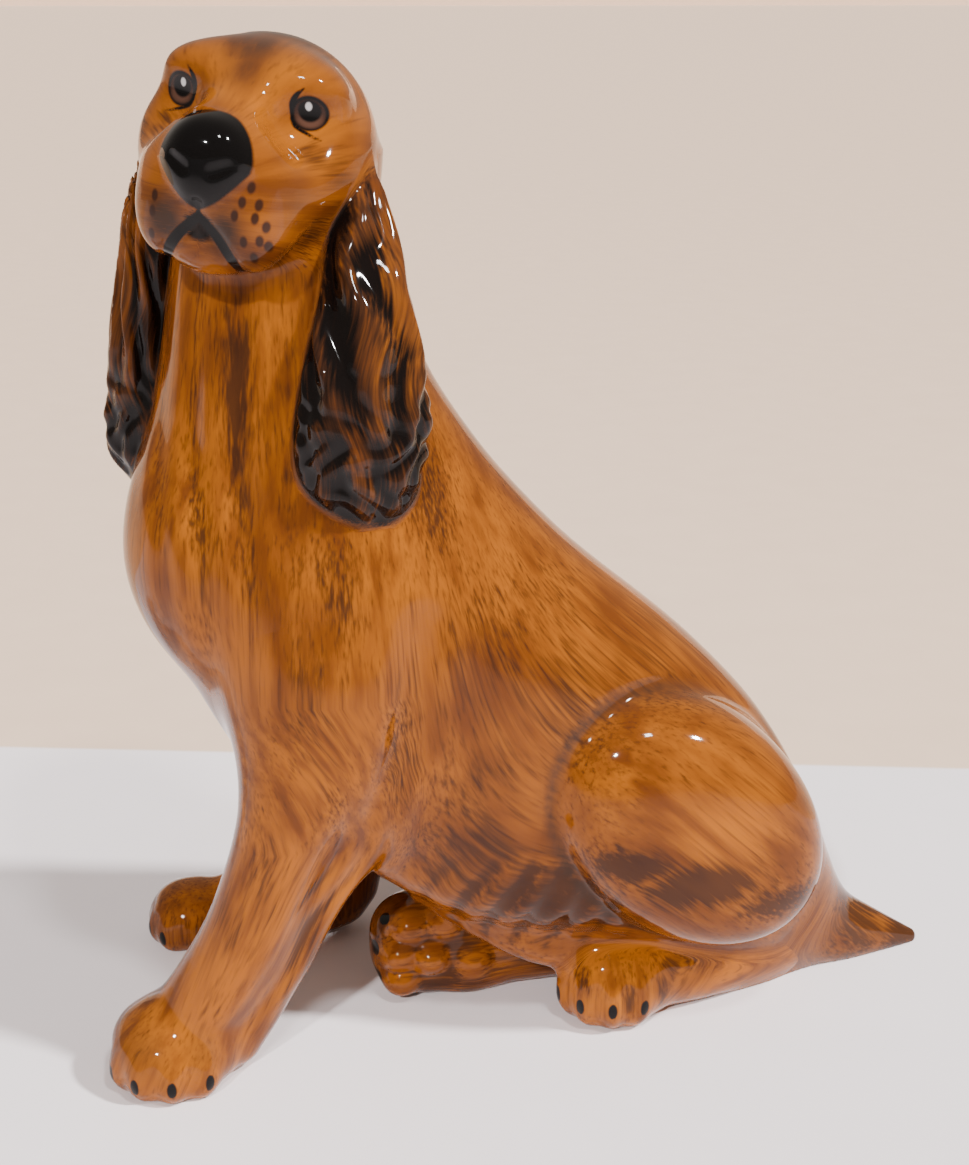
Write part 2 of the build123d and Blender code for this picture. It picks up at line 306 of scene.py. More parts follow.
def paint_body(p):
    dark = dabs(
        p,
        [
            ((33, -67, 138), (14, 5, 14), 0.75),
            ((33, -74, 112), (14, 6, 13), 0.7),
            ((30, -42, 156), (12, 6, 16), 0.75),
            ((24, -88, 186), (14, 4, 22), 0.75),
            ((20, -94, 142), (12, 5, 16), 0.55),
            ((40, -27, 120), (14, 14, 22), 0.42),
            ((37, -32, 80), (14, 14, 18), 0.5),
            ((38, -6, 104), (14, 12, 20), 0.5),
            ((36, 0, 130), (14, 16, 12), 0.45),
            ((36, 25, 111), (16, 18, 12), 0.5),
            ((38, -52, 95), (10, 5, 20), 0.6),
            ((28, -7, 46), (18, 18, 13), 1.2),
            ((30, -32, 62), (14, 16, 13), 0.7),
            ((48, 7, 60), (14, 10, 5), 1.5),
            ((49, 26, 53), (14, 14, 6), 1.6),
            ((46, 48, 44.5), (14, 12, 5), 1.1),
        ],
    )
    # Painted shade in the grooves between the belly locks and between the chest folds.
    dark = dark + np.maximum(-belly_locks(p), 0) + 0.45 * np.maximum(-chest_folds(p), 0)
    gold = dabs(
        p,
        [
            ((50, 30, 68), (14, 16, 8), 0.9),
            ((48, 2, 84), (14, 8, 8), 0.5),
            ((34, -58, 144), (14, 12, 14), 0.6),
                        # The last three dabs lighten the breast and throat: amber paint, and painted
                        # light where the front of the dog faces the light.
                        ((30, -90, 120), (14, 8, 16), 0.5),
            ((22, -98, 158), (14, 9, 30), 0.7),
            ((24, -78, 190), (14, 7, 24), 0.7),
        ],
    )
    # Painted shade: a thin grey band in the crease round the thigh boss, fading out toward the rump.
    thigh = (p - np.array(THIGH[0])) @ np.array(THIGH_AXES).T / np.array(THIGH[1])
    rim = np.exp(-(((np.hypot(thigh[:, 1], thigh[:, 2]) - 1.02) / 0.05) ** 2))
    rim = rim * np.clip((45 - p[:, 1]) / 25, 0, 1) * (p[:, 0] > 20)
    marks = brushwork(coat_flow(p), dark, gold, 0.7 * rim)
    marks["bare"] = (p[:, 2] < 0.2) | (vent(p) < 0.5)
    return marks


NECK_JOINT = 199.0
NECK_LAP = 3.0
body = cast(
    "body_glazed",
    body_form,
    (-60, -120, -2),
    (60, 100, 215),
    1.3,
    paint_body,
    lambda p: p[:, 2] - NECK_JOINT - NECK_LAP,
)
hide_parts("body_casting")


def new_node(tree, kind, settings=None, **sockets):
    """Adds a node; its sockets, by number (in_0) or by name, get a value or a link."""
    made = tree.nodes.new(kind)
    for key, value in (settings or {}).items():
        setattr(made, key, value)
    for key, value in sockets.items():
        socket = made.inputs[int(key[3:]) if key[:3] == "in_" else key.replace("_", " ")]
        if isinstance(value, bpy.types.NodeSocket):
            tree.links.new(value, socket)
        else:
            socket.default_value = value
    return made


def sums(tree, operation, *values):
    """A maths node on one to three values."""
    sockets = {f"in_{i}": value for i, value in enumerate(values)}
    return new_node(tree, "ShaderNodeMath", {"operation": operation}, **sockets).outputs[0]


def times(tree, a, b):
    return sums(tree, "MULTIPLY", a, b)


def plus(tree, a, b):
    return sums(tree, "ADD", a, b)


def ramp(tree, value, start, end, low=0.0, high=1.0):
    """A smooth step from low to high."""
    made = new_node(tree, "ShaderNodeMapRange", {"interpolation_type": "SMOOTHSTEP"}, Value=value)
    made.inputs["From Min"].default_value = start
    made.inputs["From Max"].default_value = end
    made.inputs["To Min"].default_value = low
    made.inputs["To Max"].default_value = high
    return made.outputs[0]


def tint(tree, amount, under, over):
    """One colour laid over another."""
    mix = new_node(tree, "ShaderNodeMix", {"data_type": "RGBA"}, in_0=amount, in_6=under, in_7=over)
    return mix.outputs[2]


def streaks(tree, flow, across, along, detail):
    """Noise drawn out along the brush strokes; across and along are the sizes of a mark in mm."""
    stretch = new_node(tree, "ShaderNodeVectorMath", {"operation": "MULTIPLY"}, in_0=flow)
    stretch.inputs[1].default_value = (1 / across, 1 / across, 1 / along)
    noise = new_node(tree, "ShaderNodeTexNoise", Vector=stretch.outputs[0], Detail=detail, Scale=1.0)
    return noise.outputs["Fac"]


HONEY = (0.25, 0.071, 0.0065, 1)
CHESTNUT = (0.108, 0.028, 0.0045, 1)
AMBER = (0.34, 0.098, 0.005, 1)
UMBER = (0.024, 0.009, 0.005, 1)
MOLE = (0.036, 0.017, 0.010, 1)
BLACK = (0.0025, 0.002, 0.002, 1)
CLAY = (0.50, 0.38, 0.27, 1)

painted = bpy.data.node_groups.new("painted_coat", "ShaderNodeTree")
for socket, kind in (("Flow", "Vector"), ("Washes", "Color"), ("Black", "Float")):
    painted.interface.new_socket(socket, in_out="INPUT", socket_type="NodeSocket" + kind)
for socket, kind in (("Color", "Color"), ("Height", "Float")):
    painted.interface.new_socket(socket, in_out="OUTPUT", socket_type="NodeSocket" + kind)
given = painted.nodes.new("NodeGroupInput")
washes = new_node(painted, "ShaderNodeSeparateColor", Color=given.outputs["Washes"])
bristle = streaks(painted, given.outputs["Flow"], 0.9, 26, 2.0)
stroke = streaks(painted, given.outputs["Flow"], 4.0, 40, 3.0)
cloud = streaks(painted, given.outputs["Flow"], 22, 30, 2.0)
mottle = plus(painted, times(painted, stroke, 0.6), times(painted, cloud, 0.8))
coat = tint(painted, ramp(painted, mottle, 0.5, 0.9), CHESTNUT, HONEY)
golden = times(painted, washes.outputs["Green"], ramp(painted, stroke, 0.3, 0.65))
coat = tint(painted, golden, coat, AMBER)
hairs = plus(painted, times(painted, bristle, 1.3), times(painted, stroke, 0.5))
# The dark wash is umber brushwork and also painted shade: under the jaw, in hair grooves and between
# pads and toes.
umber_and_shade = plus(painted, hairs, times(painted, washes.outputs["Red"], 0.6))
coat = tint(painted, ramp(painted, umber_and_shade, 0.85, 1.5, 0.0, 0.85), coat, UMBER)
# The grey wash is grey airbrushing and also painted shade in the crease round the thigh.
grey_paint_and_shade = times(painted, washes.outputs["Blue"], ramp(painted, hairs, 0.5, 0.9, 0.7, 1.0))
coat = tint(painted, grey_paint_and_shade, coat, MOLE)
# The black wash is black paint, with painted shade in the grooves of the ear locks.
black_paint_and_shade = plus(painted, given.outputs["Black"], times(painted, hairs, 0.5))
coat = tint(painted, ramp(painted, black_paint_and_shade, 0.75, 1.2, 0.0, 0.97), coat, BLACK)
result = painted.nodes.new("NodeGroupOutput")
painted.links.new(coat, result.inputs["Color"])
painted.links.new(plus(painted, bristle, cloud), result.inputs["Height"])


def glazed(name):
    """Underglaze painting beneath a clear, glossy glaze; gives the material and its colour."""
    material = bpy.data.materials.new(name)
    material.use_nodes = True
    tree = material.node_tree
    shader = tree.nodes["Principled BSDF"]
    brush = new_node(tree, "ShaderNodeGroup", {"node_tree": painted})
    paints = (("flow", "Vector", "Flow"), ("washes", "Color", "Washes"), ("washes", "Alpha", "Black"))
    for label, output, socket in paints:
        layer = new_node(tree, "ShaderNodeAttribute", {"attribute_name": label})
        tree.links.new(layer.outputs[output], brush.inputs[socket])
    ink = new_node(tree, "ShaderNodeAttribute", {"attribute_name": "ink"}).outputs["Fac"]
    coat = tint(tree, ramp(tree, ink, -0.25, 0.25, 1.0, 0.0), brush.outputs["Color"], BLACK)
    bare = new_node(tree, "ShaderNodeAttribute", {"attribute_name": "bare"}).outputs["Fac"]
    coat = tint(tree, bare, coat, CLAY)
    tree.links.new(coat, shader.inputs["Base Color"])
    shader.inputs["Roughness"].default_value = 0.5
    shader.inputs["Specular IOR Level"].default_value = 0.0
    tree.links.new(sums(tree, "SUBTRACT", 1.0, bare), shader.inputs["Coat Weight"])
    shader.inputs["Coat Roughness"].default_value = 0.06
    shader.inputs["Coat IOR"].default_value = 1.27
    relief = new_node(tree, "ShaderNodeBump", Height=brush.outputs["Height"])
    relief.inputs["Strength"].default_value = 0.35
    relief.inputs["Distance"].default_value = 0.08 * MM
    tree.links.new(relief.outputs[0], shader.inputs["Normal"])
    return material, coat


body_glaze, _ = glazed("body_glaze")
body.data.materials.append(body_glaze)

# Head casting
# Upper neck, skull and muzzle, cast hollow in a mould of their own and set on the neck while soft,
# turned to the dog's left and tilted. Eyes, nose and whisker marks are painted on.

HEAD = np.array([3.0, -76.5, 241.5], np.float32)
AHEAD = (0.9135, -0.4067, 0)
LEFTWARD = (0.4005, 0.8996, -0.1736)
UPWARD = (0.0706, 0.1586, 0.9847)
HEAD_AXES = np.array([AHEAD, LEFTWARD, UPWARD], np.float32)
THROAT_FILLET = 7
EYE = (15.4, 10.7)
LIPS = [(0, 0, -10), (0, 0, -12.8), (0, 4.2, -17.3), (0, 7.5, -22.3), (0, 9.5, -27)]


def mouth(q):
    """How far a point is outside the brush line of the mouth, seen from the front."""
    flat = np.stack([np.clip(30 - q[:, 0], 0, 9), np.abs(q[:, 1]), q[:, 2]], 1)
    return roll(flat, LIPS, [0.5, 0.9, 1.2, 1.2, 0.6])


def lids(q):
    """How far a point is outside the brush lines of the upper lid and the fold under the eye."""
    flat = np.stack([np.clip(10 - q[:, 0], 0, 9), np.abs(q[:, 1]) - EYE[0], q[:, 2] - EYE[1]], 1)
    lid = [(0, -3.4, -1.3), (0, -3.8, 1.4), (0, -3.1, 3.6), (0, -1.4, 5.6)]
    fold = [(0, -3.4, -1.6), (0, -2.4, -3.4), (0, 1.2, -5.0), (0, 3.4, -5.6)]
    return np.minimum(roll(flat, lid, [0.5, 0.7, 0.6, 0.1]), roll(flat, fold, [0.6, 0.5, 0.3, 0.1]))


def nose(q):
    """A shield-shaped nose leather, narrow toward the lip."""
    taper = 1 + 0.045 * np.clip(q[:, 2] + 2, -12, 0) - 0.015 * np.clip(q[:, 2], 0, 9)
    wedge = q / np.stack([np.ones(len(q)), taper, np.ones(len(q))], 1)
    return egg(wedge, (39.5, 0, -1.2), (9, 9.9, 10.0), power=2.4)


def pair(q, centre, radii):
    """The same egg of clay on both sides of the face."""
    ahead, side, up = centre
    return blend(egg(q, (ahead, side, up), radii), egg(q, (ahead, -side, up), radii), 6)


def head_form(p):
    q = (p - HEAD) @ HEAD_AXES.T
    form = egg(q, (-4, 0, 0), (28, 26.5, 25.5))
    form = blend(form, pair(q, (8, 14, -3), (17, 11, 11)), 12)  # cheeks
    form = blend(form, pair(q, (12, 12, 15), (9, 9, 6)), 8)  # brows
    form = blend(form, roll(q, [(9, 0, 5), (35, 0, -1)], [13, 9.5]), 12)  # bridge of the muzzle
    muzzle = egg(q, (26, 0, -8.5), (16, 17, 14), power=2.4)
    muzzle = blend(muzzle, pair(q, (30.5, 9.5, -15), (11, 8, 10.5)), 6)  # hanging lips
    muzzle = blend(muzzle, egg(q, (29, 0, -21), (11, 9, 7)), 4)  # chin
    form = blend(form, muzzle, 12)
    form = carve(form, pair(q, (25, 17, 8), (4, 6, 4)), 12)  # under the eyes
    form = blend(form, nose(q), 2.5)
    nostrils = [roll(q, [(49.5, side * 4, -2.5), (48, side * 7, -1)], [1.9, 1.5]) for side in (-1, 1)]
    form = carve(form, np.minimum(*nostrils), 1.5)
    return form + 0.4 * np.exp(-((np.maximum(mouth(q), 0) / 1.0) ** 2))


def head_model(p):
    """The head set on the neck, its joint wiped out wide at the nape and kept crisp at the throat."""
    nape = np.clip(-((p - HEAD) @ HEAD_AXES[0]) / 15, 0, 1)
    return blend(head_form(p), body_form(p), THROAT_FILLET + 9 * nape)


def paint_face(p):
    q = (p - HEAD) @ HEAD_AXES.T
    m = np.stack([q[:, 0], np.abs(q[:, 1]), q[:, 2]], 1)
    shadows = [
        ((27, 15, -23), (7, 6, 5), 0.9),
        ((18, 20, -17), (7, 6, 6), 0.9),
        ((8, 25, -9), (7, 6, 6), 0.8),
        ((21, 18.5, 2), (7, 4, 3.5), 0.9),
        ((0, 10, 20), (14, 6, 8), 0.35),
        ((17, 23, -3), (8, 6, 7), 0.65),
    ]
    golds = [
        ((17, 18, 5), (7, 6, 6), 0.8),
        ((17, 9, 15), (7, 5, 6), 0.6),
        ((35, 2, -28), (7, 6, 5), 0.9),
        ((27, 2, 9), (6, 8, 5), 0.8),
    ]
    greys = [
        ((-6, 0, 25), (16, 12, 9), 0.95),
        ((11, -1, 21), (11, 7.5, 8), 1.0),
        ((19, 0, 16), (8, 5, 8), 0.75),
        ((41, -8, -15), (9, 5.5, 6.5), 1.2),
        ((40, 6, -15), (9, 5, 6), 1.2),
        ((38, 11, -22), (7, 4, 4), 0.5),
        ((30, 16, -8), (9, 5, 6), 0.35),
    ]
    rise = np.clip((q[:, 2] + 26) / 22, 0, 1) * np.clip((q[:, 0] + 24) / 26, 0, 1)
    rise = (rise * rise * (3 - 2 * rise))[:, None]
    fan = 14 * np.arctan2(q[:, 1], q[:, 2] + 6)
    face_flow = np.stack([fan - 70, 0.3 * q[:, 2] - 10, q[:, 0] + 266], 1)
    flow = tuple((face_flow * rise + np.stack(coat_flow(p), 1) * (1 - rise)).T)
    black = dabs(m, [((41, 0, -15.5), (6, 3.6, 3.6), 1.3)])
    ink = np.min([nose(q) - 0.9, mouth(q), lids(q)], axis=0)
    marks = brushwork(flow, dabs(m, shadows) - 0.15, dabs(m, golds), dabs(q, greys), black, ink)
    marks["face"] = q
    return marks


def paint_head(p):
    marks = wiped(paint_face, head_form, paint_body, THROAT_FILLET)(p)
    marks["flow"] = paint_face(p)["flow"]
    return marks


head = cast(
    "head_glazed",
    head_model,
    (-40, -120, 195),
    (60, -30, 270),
    0.65,
    paint_head,
    lambda p: NECK_JOINT - p[:, 2],
)
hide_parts("head_casting", "neck_slip")


def spot(tree, point, centre, radii, soft):
    """A painted oval on a flat drawing: 1 inside, 0 outside."""
    kind = "ShaderNodeVectorMath"
    moved = new_node(tree, kind, {"operation": "SUBTRACT"}, in_0=point, in_1=(*centre, 0))
    scaled = new_node(tree, kind, {"operation": "DIVIDE"}, in_0=moved.outputs[0], in_1=(*radii, 1))
    size = new_node(tree, kind, {"operation": "LENGTH"}, in_0=scaled.outputs[0]).outputs["Value"]
    return ramp(tree, size, 1 - soft, 1 + soft, 1.0, 0.0)


head_glaze, coat = glazed("head_glaze")
head.data.materials.append(head_glaze)
tree = head_glaze.node_tree
drawing = new_node(tree, "ShaderNodeAttribute", {"attribute_name": "face"})
face = new_node(tree, "ShaderNodeSeparateXYZ", Vector=drawing.outputs["Vector"])
ahead, side, up = face.outputs
front = new_node(tree, "ShaderNodeCombineXYZ", in_0=side, in_1=up).outputs[0]
half = new_node(tree, "ShaderNodeCombineXYZ", in_0=sums(tree, "ABSOLUTE", side), in_1=up).outputs[0]
facing = ramp(tree, ahead, 10, 12)
EYE_MARKS = [
    ((0.0, 0.0), (4.1, 4.0), 0.08, BLACK),
    ((0.0, -0.1), (3.3, 3.2), 0.10, (0.03, 0.012, 0.007, 1)),
    ((0.1, -1.2), (2.7, 2.0), 0.35, (0.075, 0.034, 0.022, 1)),
    ((-0.1, 0.5), (2.5, 2.5), 0.15, BLACK),
    # The last mark is a painted highlight: a small grey-white glint on the pupil.
    ((-0.4, 1.5), (0.7, 0.95), 0.3, (0.6, 0.6, 0.6, 1)),
]
for offset, radii, soft, colour in EYE_MARKS:
    centre = (EYE[0] + offset[0], EYE[1] + offset[1])
    mark = times(tree, spot(tree, half, centre, radii, soft), facing)
    coat = tint(tree, mark, coat, colour)
WHISKERS = [
    (10.9, -4.8),
    (9.5, -8.2),
    (12.8, -8.4),
    (8.2, -11.4),
    (12.4, -11.4),
    (10.5, -17),
    (13.7, -16.4),
    (14.7, -13.1),
    (12.6, -20.5),
    (15.3, -17.5),
    (-10.6, -10.5),
    (-10.9, -14.1),
    (-11.1, -19.4),
]
for centre in WHISKERS:
    dot = times(tree, spot(tree, front, centre, (0.8, 1.35), 0.35), facing)
    coat = tint(tree, times(tree, dot, 0.95), coat, UMBER)
tree.links.new(coat, tree.nodes["Principled BSDF"].inputs["Base Color"])

# Left ear
# A long press-moulded ear of wavy hair, solid clay. It is luted to the side of the skull with slip,
# hangs beside the neck, and is painted almost black over brown.

EAR_FILLET = 2.5


def left_ear_form(p):
    stations = [
        (154, 30, -65, -50, 6),
        (157, 31, -70, -47, 9),
        (162, 32, -73.5, -45, 10.5),
        (168, 33, -75, -44, 10.5),
        (178, 33.5, -75, -43, 10.5),
        (192, 32.5, -72, -44, 9.5),
        (208, 29.5, -67, -46, 8.5),
        (224, 22, -63, -49, 8),
        (238, 13, -62, -52, 7),
        (250, 5, -65, -57, 5),
    ]
    form = levels(p, stations, 3.0)
    return form - 1.2 * left_locks(p) * np.clip(head_model(p) / 5, 0, 1)


def ear_locks(p, left, middle, width):
    """Wavy locks that run down the ear, side by side around it, and break into curls at the tip."""
    x, y, z = p.T
    turn = np.arctan2(2 * (y - middle) / width, (x - left) / 10)
    long_locks = np.cos(9 * turn + 1.2 * np.sin(z / 8) + 0.7 * np.sin(z / 3.7 + 3 * turn))
    curls = np.sin(7 * turn + 1.8 * np.sin(z / 3.2)) * np.sin(z / 2.1 + 1.8 * np.sin(4 * turn))
    tip = np.clip((196 - z) / 24, 0, 1)
    return (1 - tip) * long_locks + tip * (0.35 * long_locks + 0.75 * curls)


def left_locks(p):
    return ear_locks(p, np.interp(p[:, 2], [150, 178, 240], [30, 33, 12]), -59, 29)


left_ear_model, left_ear_trim = luted(left_ear_form, head_model, EAR_FILLET)


def paint_ear(p, locks, brown):
    """Near-black paint that turns brown in the brown places; darker in the grooves of the locks and
    lighter on their ridges, as painted shade.
    """
    black = 0.70 - 0.22 * locks - 0.4 * brown
    flow = (p[:, 1] + 2.5 * np.sin(p[:, 2] / 7), 0.3 * p[:, 0], p[:, 2])
    return brushwork(flow, 0.95 - 0.6 * brown, 0.15, 0.3, black)


def paint_left_ear(p):
    _, y, z = p.T
    strip = np.clip((y + 58 + 0.1 * (z - 200)) / 8, 0, 1) * np.clip((z - 178) / 25, 0, 1)
    middle = dabs(p, [((42, -57, 184), (14, 7, 14), 0.6), ((42, -62, 168), (14, 6, 8), 0.4)])
    return paint_ear(p, left_locks(p), np.maximum(strip, middle))


left_ear = cast(
    "left_ear_glazed",
    left_ear_model,
    (0, -85, 145),
    (55, -30, 258),
    0.7,
    wiped(paint_left_ear, left_ear_form, paint_head, EAR_FILLET),
    left_ear_trim,
)
ear_glaze, _ = glazed("ear_glaze")
left_ear.data.materials.append(ear_glaze)
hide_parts("left_ear", "left_ear_slip")

# Right ear
# The other ear, pressed in a narrower mould and luted on the far side of the skull.
# It hangs in front of the throat as the head is turned.


def right_ear_form(p):
    stations = [
        (148, -16, -107, -101, 3),
        (155, -17, -112, -98, 7),
        (163, -18, -117, -96, 10),
        (174, -17, -117, -95.5, 10),
        (192, -15, -115, -99, 9),
        (208, -13, -112, -98, 8),
        (226, -11, -109, -95, 8),
        (240, -7, -104, -92, 7),
        (250, -3, -99, -90, 5),
    ]
    form = levels(p, stations, 3.0)
    return form - 0.9 * right_locks(p) * np.clip(head_model(p) / 5, 0, 1)


def right_locks(p):
    return ear_locks(p, np.interp(p[:, 2], [150, 174, 240], [-16, -17, -7]), -106, 21)


right_ear_model, right_ear_trim = luted(right_ear_form, head_model, EAR_FILLET)


def paint_right_ear(p):
    _, y, z = p.T
    edge = np.interp(z, [163, 192, 208, 226, 240], [-117, -115, -112, -109, -104])
    strip = np.clip((edge + 8 - y) / 6, 0, 1) * np.clip((z - 165) / 30, 0, 1)
    return paint_ear(p, right_locks(p), strip)


right_ear = cast(
    "right_ear_glazed",
    right_ear_model,
    (-40, -125, 145),
    (15, -80, 258),
    0.7,
    wiped(paint_right_ear, right_ear_form, paint_head, EAR_FILLET),
    right_ear_trim,
)
right_ear.data.materials.append(ear_glaze)
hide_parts("right_ear", "right_ear_slip")

# Left foreleg
# The near foreleg, cast on its own and luted to the shoulder. It is splayed forward, with long
# feathering down its back edge and a round paw, and its claws are touched in with black.


def toes(centre, heading, length, height):
    """Middle and axes of the four toes of a paw that points from the front round toward the left."""
    for spread in (-48, -16, 16, 48):
        turn = np.radians(heading + spread)
        axes = np.array([(np.sin(turn), -np.cos(turn), 0), (np.cos(turn), np.sin(turn), 0), (0, 0, 1)])
        yield np.array(centre) + 0.55 * length * axes[0] - 0.25 * height * axes[2], axes


def paw(p, centre, heading, length, height):
    """A round paw with four low toes."""
    form = egg(p, centre, (0.9 * length, 0.9 * length, height), power=2.3)
    for place, axes in toes(centre, heading, length, height):
        form = blend(form, egg(p, place, (0.44 * length, 0.27 * length, 0.6 * height), axes), 3)
    return form


def claws(p, centre, heading, length, height):
    """Distance from the black claws painted on the tips of the toes."""
    marks = []
    for place, axes in toes(centre, heading, length, height):
        marks.append(egg(p, place + 0.42 * length * axes[0], (4, 1.3, 2.4), axes))
    return np.min(marks, axis=0)


LEFT_PAW = (21, -111, 9), 66, 18.5, 12
LEFT_SHOULDER_FILLET = 16


def feather_hair(p):
    """Strands of the long hair behind the leg; they fade out above the paw."""
    return wave(p, (0, -0.45, -0.89), (0.3, 0.85, -0.43), 7, 3) * np.clip((p[:, 2] - 12) / 20, 0, 1)


def left_foreleg_form(p):
    leg = roll(
        p,
        [(24, -66, 108), (28, -77, 82), (28, -84, 62), (27, -92, 42), (24, -102, 24), (21, -109, 14)],
        [16, 13.5, 11.5, 11, 11, 11],
    )
    feather = roll(
        p,
        [(22, -56, 86), (22, -64, 66), (22, -73, 48), (22, -81, 32), (21, -89, 18), (20, -95, 8)],
        [9.5, 9, 8.2, 7.6, 7.5, 7.5],
    )
    feather = feather - 0.45 * feather_hair(p)
    form = blend(leg, feather, 8)
    return blend(form, paw(p, *LEFT_PAW), 5)


left_foreleg_model, left_foreleg_trim = luted(left_foreleg_form, body_form, LEFT_SHOULDER_FILLET)


def paint_left_foreleg(p):
    x, y, z = p.T
    upper = np.clip((z - 70) / 40, 0, 1)
    leg = np.stack([0.92 * y - 0.4 * z, x, 0.92 * z + 0.4 * y], 1)
    flow = leg * (1 - upper[:, None]) + np.stack(coat_flow(p), 1) * upper[:, None]
    chest = paint_body(p)["washes"].T
    smudges = [
        ((24, -76, 45), (10, 6, 24), 0.7),
        ((36, -88, 65), (10, 4, 12), 0.5),
        ((34, -97, 50), (10, 4, 10), 0.5),
        ((36, -70, 88), (10, 4, 12), 0.5),
    ]
    dark = np.maximum(chest[0], dabs(p, smudges))
    # Painted shade in the grooves between the strands of the feathering.
    dark = dark + dabs(p, [((24, -74, 48), (14, 9, 32), 1.1)]) * np.maximum(-feather_hair(p), 0)
    grey = dabs(p, [((28, -119, 14), (10, 6, 5), 0.7), ((30, -105, 13), (8, 4, 6), 0.7)])
    return brushwork(tuple(flow.T), dark, np.maximum(chest[1], 0.5), grey, ink=claws(p, *LEFT_PAW))


left_foreleg = cast(
    "left_foreleg_glazed",
    left_foreleg_model,
    (-5, -135, -2),
    (60, -25, 135),
    0.8,
    wiped(paint_left_foreleg, left_foreleg_form, paint_body, LEFT_SHOULDER_FILLET),
    left_foreleg_trim,
)
limb_glaze, _ = glazed("limb_glaze")
left_foreleg.data.materials.append(limb_glaze)
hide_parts("left_foreleg", "left_foreleg_slip")

# Right foreleg
# The far foreleg, a casting of its own luted to the other shoulder. It stands more upright and
# further back, so its paw and heel show under the chest.

RIGHT_PAW = (-52, -99, 8), -6, 14.5, 10
RIGHT_SHOULDER_FILLET = 12


def right_foreleg_form(p):
    leg = roll(
        p,
        [(-24, -58, 104), (-34, -60, 76), (-42, -62, 48), (-48, -68, 24), (-51, -84, 11)],
        [15, 13.5, 11.8, 10.8, 10],
    )
    heel = roll(
        p,
        [(-38, -50, 60), (-44, -51, 34), (-47, -56, 12), (-51, -80, 9)],
        [8.5, 9.5, 10.5, 9.5],
    )
    form = blend(leg, heel, 6)
    return blend(form, paw(p, *RIGHT_PAW), 5)


right_foreleg_model, right_foreleg_trim = luted(right_foreleg_form, body_form, RIGHT_SHOULDER_FILLET)


def paint_right_foreleg(p):
    dark = dabs(p, [((-48, -55, 15), (14, 14, 16), 0.7), ((-53, -100, 8), (14, 12, 8), 0.5)])
    return brushwork((p[:, 1], p[:, 0], p[:, 2]), dark, 0.1, 0.0, ink=claws(p, *RIGHT_PAW))


right_foreleg = cast(
    "right_foreleg_glazed",
    right_foreleg_model,
    (-75, -125, -2),
    (0, -25, 130),
    1.0,
    wiped(paint_right_foreleg, right_foreleg_form, paint_body, RIGHT_SHOULDER_FILLET),
    right_foreleg_trim,
)
right_foreleg.data.materials.append(limb_glaze)
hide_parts("right_foreleg", "right_foreleg_slip")

# Left hind foot
# Shank and paw of the near hind leg, cast in one and luted under the thigh. The foot points to
# the front and a little to the left, and dark strokes of painted shade part its toes.

HIND_PAW = (18, 12, 12), 58, 17, 14
HIND_FILLET = 4


def left_hind_foot_form(p):
    shank = roll(p, [(2, 76, 12), (12, 44, 11), (18, 20, 13)], [12.5, 13, 13])
    return blend(shank, paw(p, *HIND_PAW), 5)


left_hind_foot_model, left_hind_foot_trim = luted(left_hind_foot_form, body_form, HIND_FILLET)


def paint_left_hind_foot(p):
    # Painted shade: thin dark strokes in the gaps between the toes.
    toe_gap_shade = [((32, y, z), (14, 1.8, 6), 0.8) for y, z in ((0.5, 17), (12, 12), (23, 10))]
    dark = dabs(p, [((28, 40, 18), (14, 20, 4), 0.5), *toe_gap_shade])
    shank = np.clip((p[:, 1] - 20) / 20, 0, 1)
    across = p[:, 1] + shank * (p[:, 2] - p[:, 1])
    along = p[:, 2] + shank * (p[:, 1] - p[:, 2])
    return brushwork((across, p[:, 0], along), dark, 0.85, 0.0, ink=claws(p, *HIND_PAW))


left_hind_foot = cast(
    "left_hind_foot_glazed",
    left_hind_foot_model,
    (-15, -20, -2),
    (50, 95, 45),
    0.8,
    wiped(paint_left_hind_foot, left_hind_foot_form, paint_body, HIND_FILLET),
    left_hind_foot_trim,
)
left_hind_foot.data.materials.append(limb_glaze)
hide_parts("left_hind_foot", "left_hind_foot_slip")

# Right hind foot
# The far hind foot, a casting luted under the belly. It comes out below the hair and lies on its
# side, so that its pads face the left.


def pads(p):
    """The round pads of the sole."""
    places = [
        (-2, -42.5, 23),
        (-1, -33, 24),
        (-1, -45.5, 15),
        (1, -37, 14),
        (1, -25, 11.5),
        (-1.5, -45, 6.5),
    ]
    return np.min([egg(p, place, (6, 5.4, 5)) for place in places], axis=0)


def right_hind_foot_form(p):
    foot = egg(p, (-8.5, -33, 14), (12, 19.5, 15), power=2.7)
    foot = blend(foot, roll(p, [(-7, -22, 9.5), (-5, 18, 10)], [10.5, 10]), 8)
    return blend(foot, pads(p), 2.5)


right_hind_foot_model, right_hind_foot_trim = luted(right_hind_foot_form, body_form, HIND_FILLET)


def paint_right_hind_foot(p):
    # Painted shade: darker in the crevices between the pads of the sole.
    pad_crevice_shade = np.clip(pads(p) / 1.5, 0, 1) * patch(p, (4, -36, 14), (16, 26, 24))
    dark = np.maximum(0.9 * pad_crevice_shade, dabs(p, [((4, -8, 10), (10, 14, 10), 0.6)]))
    tips = [(-4, -50, 25), (-4, -52, 16), (-4, -51.5, 7)]
    ink = np.min([egg(p, tip, (3, 2.5, 2)) for tip in tips], axis=0)
    return brushwork((p[:, 2], p[:, 0], p[:, 1]), dark, 0.3, 0.0, ink=ink)


right_hind_foot = cast(
    "right_hind_foot_glazed",
    right_hind_foot_model,
    (-30, -60, -2),
    (20, 35, 45),
    0.7,
    wiped(paint_right_hind_foot, right_hind_foot_form, paint_body, HIND_FILLET),
    right_hind_foot_trim,
)
right_hind_foot.data.materials.append(limb_glaze)
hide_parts("right_hind_foot", "right_hind_foot_slip")

